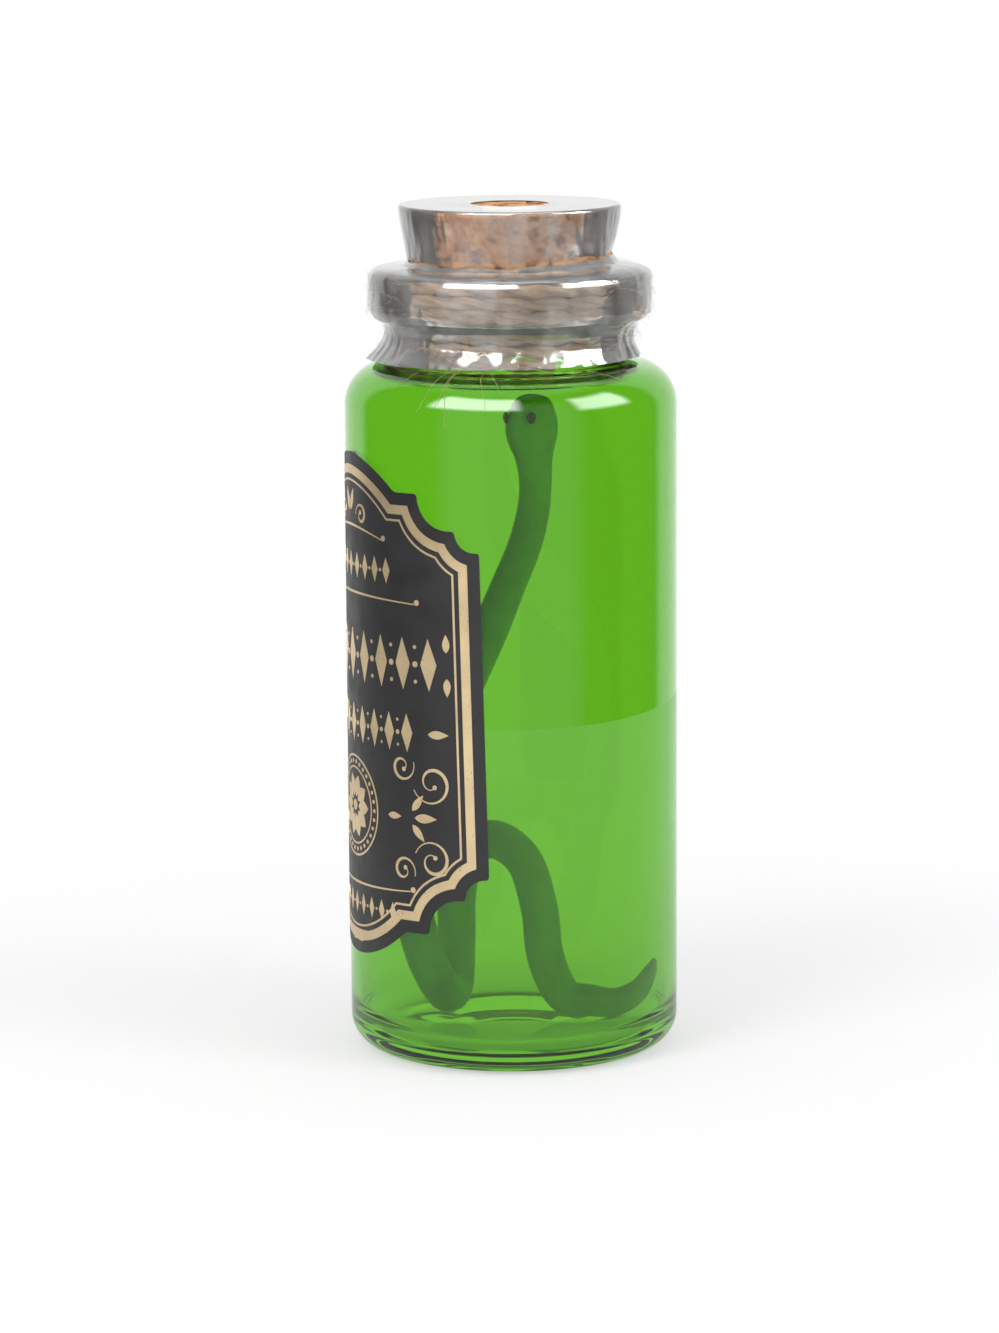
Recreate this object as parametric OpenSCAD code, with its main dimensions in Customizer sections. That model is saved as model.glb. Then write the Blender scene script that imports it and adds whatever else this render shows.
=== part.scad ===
// Corked glass vial with twine on its neck, a paper label and a rubber snake inside.
// Millimetres, +Z up, origin at the middle of the base. The front faces -Y.

/* [Glass] */
// Outer diameter of the vial's body
body_d = 47; // [45:0.5:50]
// Thickness of the body's wall
wall = 1.5; // [1.2:0.1:1.8]
// Height of the shoulder's flat top
shoulder_h = 98.5; // [96:0.5:104]
// Radius of the shoulder's outer curve
shoulder_r = 6; // [5:0.5:6.5]
// Radius of the heel's outer curve
heel_r = 4.5; // [4:0.5:5.5]
// Thickness of the floor
floor_t = 3; // [2.5:0.1:3.2]
// Diameter of the recess under the floor
punt_d = 17.6; // [14:0.2:20]
// Depth of the recess under the floor
punt_depth = 0.9; // [0.5:0.1:1.2]
// Outer diameter of the neck
neck_d = 30.6; // [30:0.2:31.4]
// Diameter of the bore through the neck
bore_d = 26.2; // [25.4:0.2:26.8]
// Height of the neck between the shoulder and the lip
neck_h = 6.5; // [6.3:0.1:8]
// Radius of the curve where the neck meets the shoulder
neck_fillet = 1; // [0.6:0.1:1.1]
// Outer diameter of the lip
lip_d = 36.2; // [35:0.2:37.4]
// Height of the lip
lip_h = 6.3; // [6.1:0.1:7]
// Radius of the lip's rounded edges
lip_edge = 0.9; // [0.5:0.1:1.2]
// Diameter of the mouth at the lip's top
mouth_d = 28.2; // [27.4:0.2:28.6]

/* [Cork] */
// Height of the cork above the lip
cork_out = 9.2; // [7:0.2:12]
// Depth of the cork in the neck
cork_in = 10.1; // [9:0.1:11]
// Radius that the cork loses in each millimetre of its height
cork_taper = 0.165; // [0.15:0.005:0.2]
// Width of the bevel on the cork's edges
cork_bevel = 0.4; // [0.2:0.1:0.8]
// Clearance between the cork and the mouth
cork_gap = 0.08; // [0.05:0.01:0.1]

/* [Twine] */
// Diameter of the twine
twine_d = 1.35; // [1.2:0.05:1.4]
// Distance from one turn to the next
twine_pitch = 1.82; // [1.82:0.01:1.9]
// Clearance between the twine and the glass
twine_gap = 0.1; // [0.05:0.05:0.2]
// Turns round the lip
lip_turns = 2.65; // [1.5:0.05:2.7]
// Turns round the neck
neck_turns = 2.35; // [1.5:0.05:2.4]
// Height of the lowest turn's middle above the shoulder
neck_turn_up = 1; // [0.9:0.05:1.2]

/* [Label] */
// Width of the label along the glass
label_w = 51.2; // [44:0.4:54]
// Height of the label at its middle
label_h = 71.6; // [64:0.4:76]
// Height of the label's middle on the glass
label_z = 50.7; // [46:0.1:53]
// Angle of the label's middle from the front, to the left
label_turn = 72; // [0:1:180]
// Tilt of the label as it was stuck on
label_tilt = 1.4; // [0:0.1:3]
// Thickness of the label
label_t = 0.14; // [0.1:0.01:0.2]
// Distance from the label's top down to the small notch's middle
notch_drop = 9.9; // [9.5:0.1:10.5]
// Radius of the large notch in each corner
notch_r = 4.9; // [4:0.1:5.5]
// Radius of the small notch in each corner
small_notch_r = 2.9; // [2:0.1:3.2]
// Clearance between the label and the glass
label_gap = 0.02; // [0.01:0.01:0.05]

/* [Shrink film] */
// Thickness of the shrink film
film_t = 0.15; // [0.1:0.01:0.2]
// Clearance between the film and what it covers
film_gap = 0.12; // [0.1:0.01:0.2]
// Diameter of the hole in the film on the cork's top
film_hole_d = 11; // [8:0.5:16]
// Height of the tear line above the lip
tear_up = 1.3; // [1:0.1:2.5]
// Gap at the tear line
tear_gap = 0.3; // [0.2:0.1:0.5]
// Reach of the film's flared hem past the neck
hem_reach = 4.6; // [3.5:0.1:4.8]
// Clearance between the film's hem and the shoulder
hem_gap = 0.35; // [0.3:0.05:0.6]

/* [Snake] */
// Thickness of the snake's body, against a real one of the same route
snake_girth = 1; // [0.85:0.05:1.05]

/* [Hidden] */
$fn = 96;
arc_step = 9;

body_r = body_d / 2;
inner_r = body_r - wall;
neck_r = neck_d / 2;
bore_r = bore_d / 2;
lip_r = lip_d / 2;
mouth_r = mouth_d / 2;
lip_low = shoulder_h + neck_h;
lip_top = lip_low + lip_h;
seat_low = lip_top - (mouth_r - bore_r) / cork_taper;

cork_top = lip_top + cork_out;
cork_low = lip_top - cork_in;
cork_mouth_r = mouth_r - cork_gap;

// Radius of the cork at height z
function cork_r(z) = cork_mouth_r + (z - lip_top) * cork_taper;

// Points on an arc of radius r about c, from angle a to angle b
function arc(c, r, a, b) =
    let (n = ceil(abs(b - a) / arc_step))
    [for (i = [0:n]) c + r * [cos(a + (b - a) * i / n), sin(a + (b - a) * i / n)]];

function unit(v) = v / norm(v);

// Glass

// Inside curves keep the wall's thickness round the heel and the shoulder
inner_shoulder_r = shoulder_r - wall;
inner_heel_r = heel_r;
punt_r = punt_d / 2;
punt_edge = 0.6;

module glass_profile() {
    outside = concat(
        [[0, punt_depth], [punt_r - punt_edge, punt_depth], [punt_r + punt_edge, 0]],
        arc([body_r - heel_r, heel_r], heel_r, -90, 0),
        arc([body_r - shoulder_r, shoulder_h - shoulder_r], shoulder_r, 0, 90),
        arc([neck_r + neck_fillet, shoulder_h + neck_fillet], neck_fillet, 270, 180),
        [[neck_r, lip_low]],
        arc([lip_r - lip_edge, lip_low + lip_edge], lip_edge, -90, 0),
        arc([lip_r - lip_edge, lip_top - lip_edge], lip_edge, 0, 90));
    inside = concat(
        [[mouth_r, lip_top], [bore_r, seat_low]],
        arc([bore_r + wall, shoulder_h - wall + wall], wall, 180, 270),
        arc([inner_r - inner_shoulder_r, shoulder_h - shoulder_r], inner_shoulder_r, 90, 0),
        arc([inner_r - inner_heel_r, floor_t + inner_heel_r], inner_heel_r, 0, -90),
        [[0, floor_t]]);
    polygon(concat(outside, inside));
}

module glass_vial() {
    color([0.45, 0.8, 0.25, 0.5])
        rotate_extrude() glass_profile();
}

// Cork

module cork_stopper() {
    bevel_in = cork_bevel * (1 - cork_taper);
    color([0.78, 0.58, 0.4])
        rotate_extrude() polygon([
            [0, cork_low],
            [cork_r(cork_low) - cork_bevel, cork_low],
            [cork_r(cork_low + cork_bevel), cork_low + cork_bevel],
            [cork_r(cork_top - cork_bevel), cork_top - cork_bevel],
            [cork_r(cork_top) - bevel_in, cork_top],
            [0, cork_top]]);
}

// Twine

// Rings in a turn of twine, and sides of the tube
turn_rings = 24;
twine_sides = 6;
ring_turn = 360 / turn_rings;
// The tube's chords cut inside the circle that its rings stand on
chord = cos(ring_turn / 2);
twine_r = twine_d / 2;
lip_twine_r = (lip_r + twine_gap + twine_r) / chord;
neck_twine_r = (neck_r + twine_gap + twine_r) / chord;

// Angles from the front where the windings begin, in the back on the lip
lip_start = -100;
neck_start = 15;
lip_twine_z = lip_top - twine_r - twine_gap / 2;
neck_twine_z = shoulder_h + neck_turn_up;

// Points of a winding; way is 1 to the right and -1 to the left, rise is positive upwards.
// Each end runs straight on for one tube diameter.
function winding(r, z, start, turns, way, rise) =
    let (n = round(turns * turn_rings), end = start + way * n * ring_turn,
         coil = [for (i = [0:n]) let (a = start + way * i * ring_turn)
                 [r * sin(a), -r * cos(a), z + rise * i / turn_rings]],
         head = coil[0] - way * twine_d * [cos(start), sin(start), 0],
         tail = coil[n] + way * twine_d * [cos(end), sin(end), 0])
    concat([head], coil, [tail]);

lip_winding = winding(lip_twine_r, lip_twine_z, lip_start, lip_turns, 1, -twine_pitch);
neck_winding = winding(neck_twine_r, neck_twine_z, neck_start, neck_turns, -1, twine_pitch);

// Least gap of a winding to itself, between its points more than half a turn apart
function self_gap(path) =
    min([for (i = [0:len(path) - 1]) for (j = [i + turn_rings / 2:len(path) - 1])
         norm(path[i] - path[j])]) - twine_d;
echo(lip_twine_gap = self_gap(lip_winding), neck_twine_gap = self_gap(neck_winding));

// Direction of a path at each of its points
function tangents(path) = [for (i = [0:len(path) - 1])
    unit(path[min(i + 1, len(path) - 1)] - path[max(i - 1, 0)])];

// Side direction at each point, carried along the path without twisting
function sides_along(dirs, first) = [for (i = 0, s = unit(first - (first * dirs[0]) * dirs[0]);
    i < len(dirs);
    i = i + 1, s = i < len(dirs) ? unit(s - (s * dirs[i]) * dirs[i]) : s) s];

// A closed tube of triangles through the rings, each ring a list of points
module skin(rings) {
    n = len(rings[0]);
    last = len(rings) - 1;
    points = [for (ring = rings) each ring];
    walls = [for (k = [0:last - 1]) for (i = [0:n - 1])
             let (a = k * n + i, b = k * n + (i + 1) % n)
             each [[a, b, b + n], [a, b + n, a + n]]];
    caps = [for (i = [1:n - 2]) each [[0, i + 1, i], [last * n, last * n + i, last * n + i + 1]]];
    polyhedron(points, concat(walls, caps));
}

// Rings of a tube along a path; wide and thick are half sizes at each point
function tube_rings(path, first, wide, thick, sides) =
    let (dirs = tangents(path), side = sides_along(dirs, first))
    [for (k = [0:len(path) - 1])
        let (up = cross(dirs[k], side[k]))
        [for (i = [0:sides - 1]) let (a = -360 * i / sides)
            path[k] + wide[k] * cos(a) * side[k] - thick[k] * sin(a) * up]];

module twine(path) {
    r = [for (p = path) twine_r];
    color([0.8, 0.7, 0.56]) skin(tube_rings(path, [0, 0, 1], r, r, twine_sides));
}

module lip_twine() {
    twine(lip_winding);
}

module neck_twine() {
    twine(neck_winding);
}

// Label

label_r = body_r + label_gap;
label_edge_x = label_w / 2;
label_edge_y = label_h / 2;
// Steps of the outline between its arch, its notches and its straight side
side_step = 0.6;
small_step = 0.8;
large_step = 0.9;
arch_rise = 4.7;
// Rise from the small notch's middle to the large notch's lowest point
notch_lift = 0.1;
// Width of the flat shoulder beside the arch
arch_shoulder = 3.2;
small_notch = [label_edge_x - side_step, label_edge_y - notch_drop];
large_notch = [small_notch[0] - small_notch_r - small_step,
               small_notch[1] + notch_r + notch_lift];
arch_end = large_notch[0] - notch_r - large_step;
arch_half = arch_end - arch_shoulder;
arch_big_r = (arch_half * arch_half + arch_rise * arch_rise) / (2 * arch_rise);
arch_angle = asin(arch_half / arch_big_r);

// Upper right quarter of the outline, from the straight side to the arch's top
label_quarter = concat(
    [[label_edge_x, small_notch[1] - small_notch_r - side_step],
     [label_edge_x - side_step, small_notch[1] - small_notch_r]],
    arc(small_notch, small_notch_r, 270, 180),
    [[small_notch[0] - small_notch_r - small_step, large_notch[1] - notch_r]],
    arc(large_notch, notch_r, 265, 190),
    [[arch_end, label_edge_y - arch_rise - side_step],
     [arch_end - large_step, label_edge_y - arch_rise]],
    arc([0, label_edge_y - arch_big_r], arch_big_r, 90 - arch_angle, 90));

function reversed(list) = [for (i = [len(list) - 1:-1:0]) list[i]];
function turned(p, a) = [p[0] * cos(a) - p[1] * sin(a), p[0] * sin(a) + p[1] * cos(a)];

// The whole outline, measured along the glass and upwards
label_outline = concat(
    label_quarter,
    reversed([for (p = label_quarter) [-p[0], p[1]]]),
    [for (p = label_quarter) [-p[0], -p[1]]],
    reversed([for (p = label_quarter) [p[0], -p[1]]]));

module label() {
    degrees_per_mm = 180 / (PI * label_r);
    flat = [for (p = label_outline) let (q = turned(p, label_tilt))
            [label_r * sin(q[0] * degrees_per_mm), q[1] + label_z]];
    color([0.12, 0.12, 0.12])
        rotate([0, 0, -label_turn]) intersection() {
            rotate_extrude() translate([label_r, 0]) square([label_t, cork_low]);
            rotate([90, 0, 0]) linear_extrude(label_r + 1) polygon(flat);
        }
}

// Shrink film

tear_z = lip_top + tear_up;
lip_bulge_r = lip_twine_r + twine_r + film_gap;
neck_bulge_r = neck_twine_r + twine_r + film_gap;
hem_r = neck_r + hem_reach;
// The shoulder falls away below the hem where the hem reaches past its flat top
past_flat = max(0, hem_r - body_r + shoulder_r);
hem_z = shoulder_h + hem_gap - shoulder_r + sqrt(pow(shoulder_r, 2) - pow(past_flat, 2));
// The film bridges from the lip's lowest turn in to the neck, below the lip's edge
bridge_low = 2.2;
bridge_edge = 1.2;
// It leaves the neck's lowest turns and flares out to the hem
flare_out = 1.3;
flare_low = 0.8;
flare_top = 2;

// Film along a line of points, drawn film_t outwards from it
module film(line) {
    far = [for (i = [0:len(line) - 1])
           let (d = unit(line[min(i + 1, len(line) - 1)] - line[max(i - 1, 0)]))
           line[i] + film_t * [d[1], -d[0]]];
    color([0.95, 0.95, 0.93, 0.3])
        rotate_extrude() polygon(concat(line, reversed(far)));
}

module film_cap() {
    side_low = cork_r(tear_z + tear_gap) + film_gap;
    side_top = cork_r(cork_top) + film_gap;
    color([0.95, 0.95, 0.93, 0.3]) rotate_extrude() polygon([
        [side_low, tear_z + tear_gap],
        [side_low + film_t, tear_z + tear_gap],
        [side_top + film_t, cork_top],
        [side_top, cork_top + film_t + film_gap / 2],
        [film_hole_d / 2, cork_top + film_t + film_gap / 2],
        [film_hole_d / 2, cork_top + film_gap / 2],
        [side_top - film_t, cork_top + film_gap / 2],
        [side_top, cork_top - film_t]]);
}

module film_skirt() {
    film([[hem_r, hem_z],
          [neck_bulge_r + flare_out, neck_twine_z + flare_low],
          [neck_bulge_r, neck_twine_z + flare_top],
          [neck_bulge_r, lip_low - bridge_low],
          [lip_r, lip_low - bridge_edge],
          [lip_bulge_r - film_t, lip_low],
          [lip_bulge_r, lip_low + twine_d],
          [lip_bulge_r, lip_twine_z + twine_r / 2],
          [lip_bulge_r - twine_r / 2, lip_top + film_gap],
          [cork_r(tear_z) + film_gap + tear_up, lip_top + tear_up / 2],
          [cork_r(tear_z) + film_gap, tear_z]]);
}

// Snake

// The route fills a hollow of this radius and height, and follows the glass when that changes
route_r = 22;
route_h = 98.5;
// Sides of the snake's tube, and steps between two points of its route
snake_sides = 12;
route_steps = 3;
// Clearance under the snake
snake_gap = 0.35;

// Each point is x, y and z with the body's half width and half thickness, from the snout
// down to the tip of the tail
snake_route = [
    [3.2, -6.6, 95.4, 0.7, 0.6],
    [3.1, -6.5, 94.6, 2.2, 1.7],
    [3.0, -6.3, 92.6, 3.2, 2.4],
    [2.9, -6.1, 90.2, 3.8, 2.6],
    [3.0, -5.9, 88.0, 3.6, 2.5],
    [3.2, -5.6, 85.4, 2.7, 2.4],
    [3.4, -5.0, 82.0, 2.3, 2.3],
    [3.1, -3.4, 77.6, 2.3, 2.3],
    [1.8, -0.6, 72.0, 2.4, 2.4],
    [-0.5, 3.2, 65.8, 2.5, 2.5],
    [-3.2, 6.8, 58.8, 2.7, 2.7],
    [-7.0, 9.4, 50.2, 2.8, 2.8],
    [-11.0, 9.4, 41.0, 2.8, 2.8],
    [-14.0, 6.4, 31.5, 2.8, 2.8],
    [-14.9, 1.6, 22.0, 2.8, 2.8],
    [-12.9, -1.9, 13.4, 2.8, 2.8],
    [-10.0, -0.8, 7.3, 2.8, 2.8],
    [-8.7, 3.6, 7.4, 2.8, 2.8],
    [-8.4, 6.4, 13.2, 2.8, 2.8],
    [-8.2, 7.6, 20.4, 2.8, 2.8],
    [-6.6, 7.6, 26.2, 2.8, 2.8],
    [-2.6, 6.4, 28.0, 2.8, 2.8],
    [1.6, 4.4, 25.2, 2.7, 2.7],
    [3.7, 2.6, 18.8, 2.7, 2.7],
    [4.6, 1.2, 11.8, 2.7, 2.7],
    [7.2, 0.2, 6.4, 2.6, 2.6],
    [11.2, -0.2, 5.6, 2.3, 2.3],
    [14.8, -0.2, 5.4, 2.0, 2.0],
    [17.9, 0.0, 7.0, 1.6, 1.6],
    [19.8, 0.2, 9.8, 1.0, 1.0],
    [20.5, 0.3, 11.6, 0.3, 0.3]];

// Cubic curve through four neighbours at t of the way from b to c
function between(a, b, c, d, t) =
    b + (c - a) * t / 2 + (a - 2.5 * b + 2 * c - d / 2) * t * t
      + (1.5 * (b - c) + (d - a) / 2) * t * t * t;

snake_stations = [for (i = [0:len(snake_route) - 2]) for (k = [0:route_steps - 1])
    between(snake_route[max(i - 1, 0)], snake_route[i], snake_route[i + 1],
            snake_route[min(i + 2, len(snake_route) - 1)], k / route_steps)];
snake_all = concat(snake_stations, [snake_route[len(snake_route) - 1]]);

module rubber_snake() {
    across = inner_r / route_r;
    along = (shoulder_h - floor_t) / (route_h - 3);
    path = [for (p = snake_all)
            [p[0] * across, p[1] * across, floor_t + snake_gap + (p[2] - 3.35) * along]];
    wide = [for (p = snake_all) p[3] * snake_girth];
    thick = [for (p = snake_all) p[4] * snake_girth];
    color([0.4, 0.75, 0.15])
        skin(tube_rings(path, [cos(20), sin(20), 0], wide, thick, snake_sides));
}

glass_vial();
cork_stopper();
lip_twine();
neck_twine();
label();
film_cap();
film_skirt();
rubber_snake();
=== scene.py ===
import math
import random

import bpy
import numpy as np
from bpy.props import FloatProperty, FloatVectorProperty, IntProperty, PointerProperty
from bpy.types import Operator, Panel, PropertyGroup
from mathutils import Matrix, Vector, noise


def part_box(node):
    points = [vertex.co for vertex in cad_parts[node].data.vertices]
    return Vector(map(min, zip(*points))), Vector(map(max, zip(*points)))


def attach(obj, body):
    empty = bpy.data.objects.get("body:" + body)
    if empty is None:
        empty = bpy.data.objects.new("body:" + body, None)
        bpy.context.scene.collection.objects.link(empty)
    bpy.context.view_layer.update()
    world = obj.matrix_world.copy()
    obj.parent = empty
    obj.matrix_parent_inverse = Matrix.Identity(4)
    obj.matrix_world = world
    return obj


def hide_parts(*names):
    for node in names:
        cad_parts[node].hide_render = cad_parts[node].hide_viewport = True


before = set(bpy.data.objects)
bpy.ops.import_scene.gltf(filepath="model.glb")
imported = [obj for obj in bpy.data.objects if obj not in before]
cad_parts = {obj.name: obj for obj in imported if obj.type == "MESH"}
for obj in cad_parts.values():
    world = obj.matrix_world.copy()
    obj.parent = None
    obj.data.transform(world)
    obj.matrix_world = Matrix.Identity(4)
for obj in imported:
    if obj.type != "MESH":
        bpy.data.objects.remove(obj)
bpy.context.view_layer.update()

bl_info = {
    "name": "Corked vial",
    "version": (1, 0, 0),
    "blender": (4, 5, 0),
    "location": "3D View > Sidebar > Vial",
    "description": "Models and finishes the pieces of a corked glass vial with a rubber snake inside",
    "category": "Object",
}

MM = 0.001
# Points closer than this are one point
WELD = 0.002 * MM

glass_low, glass_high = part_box("glass_vial")
cork_low, cork_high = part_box("cork_stopper")
BODY_R = glass_high.x
LIP_TOP = glass_high.z


def size(name, description, default):
    """A length that a user can change."""
    return FloatProperty(name=name, description=description, default=default, unit="LENGTH",
                         precision=5)


def turn(name, description, degrees):
    """An angle that a user can change."""
    return FloatProperty(name=name, description=description, default=math.radians(degrees),
                         unit="ROTATION")


def share(name, description, default):
    """A number from 0 to 1 that a user can change."""
    return FloatProperty(name=name, description=description, default=default, min=0, max=1,
                         subtype="FACTOR")


def count(name, description, default):
    """A whole number that a user can change."""
    return IntProperty(name=name, description=description, default=default, min=1)


def colour(name, description, default):
    """A linear colour that a user can change."""
    return FloatVectorProperty(name=name, description=description, default=default, min=0, max=1,
                               subtype="COLOR")


class GlassSettings(PropertyGroup):
    """Sizes and colours of the glass vial."""
    wall: size("Wall", "Thickness of the body's wall", 1.5 * MM)
    shoulder_top: size("Shoulder top", "Height of the shoulder's flat top", 98.5 * MM)
    shoulder_radius: size("Shoulder radius", "Radius of the shoulder's outer curve", 6 * MM)
    heel_radius: size("Heel radius", "Radius of the heel's outer curve", 4.5 * MM)
    base: size("Floor", "Thickness of the floor", 3 * MM)
    punt_radius: size("Recess radius", "Radius of the recess under the floor", 8.8 * MM)
    punt_depth: size("Recess depth", "Depth of the recess under the floor", 0.9 * MM)
    neck_radius: size("Neck radius", "Outer radius of the neck", 15.3 * MM)
    bore_radius: size("Bore radius", "Radius of the bore through the neck", 13.1 * MM)
    neck_height: size("Neck height", "Height of the neck below the lip", 6.5 * MM)
    lip_radius: size("Lip radius", "Outer radius of the lip", 18.1 * MM)
    mouth_radius: size("Mouth radius", "Radius of the mouth at the lip's top", 14.1 * MM)
    lip_edge: size("Lip edge", "Radius of the lip's rounded edges", 0.9 * MM)
    steps: count("Steps", "Faces round the glass", 192)
    tint: colour("Tint", "What both walls together let through", (0.125, 0.47, 0.012))


class CorkSettings(PropertyGroup):
    """Sizes and colours of the cork."""
    taper: share("Taper", "Radius that the cork loses in each unit of its height", 0.165)
    bevel: size("Bevel", "Width of the worn bevel on the cork's edges", 0.45 * MM)
    cell: size("Cell", "Size of the faces that carry the grain", 0.32 * MM)
    granule: size("Granule", "Size of a pressed granule", 1.9 * MM)
    relief: size("Relief", "Depth of the seams between granules", 0.1 * MM)
    pit: size("Pit", "Depth of the open pores", 0.42 * MM)
    pale: colour("Pale", "Colour of the palest granules", (0.74, 0.42, 0.22))
    middle: colour("Middle", "Colour of most granules", (0.57, 0.28, 0.12))
    dark: colour("Dark", "Colour of bark specks and pores", (0.2, 0.085, 0.035))


class TwineSettings(PropertyGroup):
    """Sizes and colours of the twine."""
    thickness: size("Thickness", "Diameter of the twine", 1.8 * MM)
    pitch: size("Pitch", "Distance from one turn to the next", 1.82 * MM)
    lay: size("Lay", "Length in which the two plies turn once round each other", 11 * MM)
    lip_turns: FloatProperty(name="Lip turns", description="Turns round the lip", default=2.65)
    neck_turns: FloatProperty(name="Neck turns", description="Turns round the neck", default=2.35)
    lip_start: turn("Lip start", "Angle from the front where the lip's winding begins", -100)
    neck_start: turn("Neck start", "Angle from the front where the neck's winding begins", 15)
    fibres: count("Fibres", "Loose fibres on each winding", 420)
    pale: colour("Pale", "Colour of the palest fibres", (0.83, 0.66, 0.5))
    middle: colour("Middle", "Colour of most fibres", (0.6, 0.43, 0.28))
    dark: colour("Dark", "Colour of the darkest fibres", (0.28, 0.17, 0.1))


class LabelSettings(PropertyGroup):
    """Sizes and colours of the label and its print."""
    width: size("Width", "Width of the label along the glass", 51.2 * MM)
    height: size("Height", "Height of the label at its middle", 71.6 * MM)
    middle: size("Middle", "Height of the label's middle on the glass", 50.7 * MM)
    place: turn("Place", "Angle of the label's middle from the front", -72)
    tilt: turn("Tilt", "Tilt of the label as it was stuck on", 1.4)
    thickness: size("Thickness", "Thickness of the paper", 0.1 * MM)
    foil: size("Foil", "Height of the print above the paper", 0.035 * MM)
    paper: colour("Paper", "Colour of the coated black paper", (0.012, 0.011, 0.012))
    gold: colour("Gold", "Colour of the print", (0.72, 0.56, 0.33))


class FilmSettings(PropertyGroup):
    """Sizes and colours of the shrink film."""
    thickness: size("Thickness", "Thickness of the film", 0.06 * MM)
    clearance: size("Clearance", "Gap between the film and what it covers", 0.12 * MM)
    hole_radius: size("Hole radius", "Radius of the hole on the cork's top", 5.5 * MM)
    tear_up: size("Tear height", "Height of the tear line above the lip", 1.3 * MM)
    wrinkle: size("Wrinkle", "Height of the film's wrinkles", 0.16 * MM)
    haze: share("Haze", "How milky the film is", 0.1)


class SnakeSettings(PropertyGroup):
    """Sizes and colours of the rubber snake."""
    scales: count("Scales", "Scales in a row round the body", 16)
    relief: size("Relief", "Height of the moulded scales", 0.07 * MM)
    rubber: colour("Rubber", "Colour of the rubber", (0.55, 0.86, 0.2))
    eye: colour("Eye", "Colour of the painted eyes", (0.05, 0.012, 0.004))


class StageSettings(PropertyGroup):
    """The floor, the light and the camera."""
    floor_radius: size("Floor", "Radius of the pale floor", 290 * MM)
    ambient: share("Ambient", "Light from all round on matt surfaces", 0.72)
    key: FloatProperty(name="Key", description="Power of the lamp in front on the left, in watts",
                       default=2.2)
    fill: FloatProperty(name="Fill", description="Power of the lamp in front on the right, in watts",
                        default=1.6)
    camera_place: FloatVectorProperty(name="Camera", description="Where the camera stands",
                                      default=(0, -698.02 * MM, 176.606 * MM), unit="LENGTH")
    camera_down: turn("Camera down", "How far the camera looks down", 9.92115)
    camera_right: turn("Camera right", "How far the camera looks to the right", -0.14873)
    camera_roll: turn("Camera roll", "How far the camera is rolled", -0.35511)
    lens: FloatProperty(name="Lens", description="The camera's focal length in millimetres",
                        default=133.92)


# Modelling


def place(radius, angle, height):
    """The point at a radius, an angle from the front towards the right, and a height."""
    return Vector((radius * math.sin(angle), -radius * math.cos(angle), height))


def arc(centre, radius, start, end, step=6):
    """Points (radius, height) on an arc, its angles in degrees."""
    steps = max(2, math.ceil(abs(end - start) / step))
    angles = [math.radians(start + (end - start) * i / steps) for i in range(steps + 1)]
    return [(centre[0] + radius * math.cos(a), centre[1] + radius * math.sin(a)) for a in angles]


def filled_in(outline, step):
    """An outline with more points, no further apart than step."""
    points = [outline[0]]
    for (r, z), (next_r, next_z) in zip(outline, outline[1:]):
        pieces = max(1, math.ceil(math.hypot(next_r - r, next_z - z) / step))
        for i in range(1, pieces + 1):
            points.append((r + (next_r - r) * i / pieces, z + (next_z - z) * i / pieces))
    return points


def select_none():
    """Leaves no object selected."""
    bpy.ops.object.select_all(action="DESELECT")


def lathe(name, outline, steps):
    """Extrudes a vertex along an outline of (radius, height) and spins it round Z."""
    select_none()
    bpy.ops.mesh.primitive_plane_add(size=MM, location=(outline[0][0], 0, outline[0][1]))
    piece = bpy.context.object
    piece.name = name
    bpy.ops.object.transform_apply()
    bpy.ops.object.mode_set(mode="EDIT")
    bpy.ops.mesh.select_all(action="SELECT")
    bpy.ops.mesh.merge(type="CENTER")
    for (r, z), (next_r, next_z) in zip(outline, outline[1:]):
        bpy.ops.mesh.extrude_vertices_move(
            TRANSFORM_OT_translate={"value": (next_r - r, 0, next_z - z)})
    bpy.ops.mesh.select_all(action="SELECT")
    bpy.ops.mesh.spin(steps=steps, angle=math.tau, center=(0, 0, 0), axis=(0, 0, 1))
    bpy.ops.mesh.select_all(action="SELECT")
    bpy.ops.mesh.remove_doubles(threshold=WELD)
    bpy.ops.mesh.normals_make_consistent(inside=False)
    bpy.ops.object.mode_set(mode="OBJECT")
    return piece


def smooth(piece, degrees=40):
    """Smooths a piece except across its sharp edges."""
    select_none()
    piece.select_set(True)
    bpy.context.view_layer.objects.active = piece
    bpy.ops.object.shade_smooth_by_angle(angle=math.radians(degrees))


def apply_modifier(piece, kind, **settings):
    """Adds a modifier to a piece and applies it."""
    select_none()
    piece.select_set(True)
    bpy.context.view_layer.objects.active = piece
    modifier = piece.modifiers.new(kind.title(), kind)
    for key, value in settings.items():
        setattr(modifier, key, value)
    bpy.ops.object.modifier_apply(modifier=modifier.name)


def move_points(piece, moved):
    """Moves each point of a piece to where moved(point) says."""
    for vertex in piece.data.vertices:
        vertex.co = moved(vertex.co)
    piece.data.update()


def finish_piece(piece, materials, body, replaced=()):
    """Gives a piece its materials and its body, and hides the CAD nodes that it replaces."""
    for material in materials:
        piece.data.materials.append(material)
    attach(piece, body)
    if replaced:
        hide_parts(*replaced)


def stretch_slots(piece, outline, slots):
    """Gives each face of a lathed piece the slot of the outline's stretch that it was spun from."""
    starts = np.array(outline[:-1])
    along = np.array(outline[1:]) - starts
    lengths = (along ** 2).sum(1)
    for face in piece.data.polygons:
        spot = np.array([math.hypot(face.center.x, face.center.y), face.center.z])
        t = np.clip(((spot - starts) * along).sum(1) / lengths, 0, 1)
        away = ((starts + t[:, None] * along - spot) ** 2).sum(1)
        face.material_index = slots[int(away.argmin())]


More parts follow.
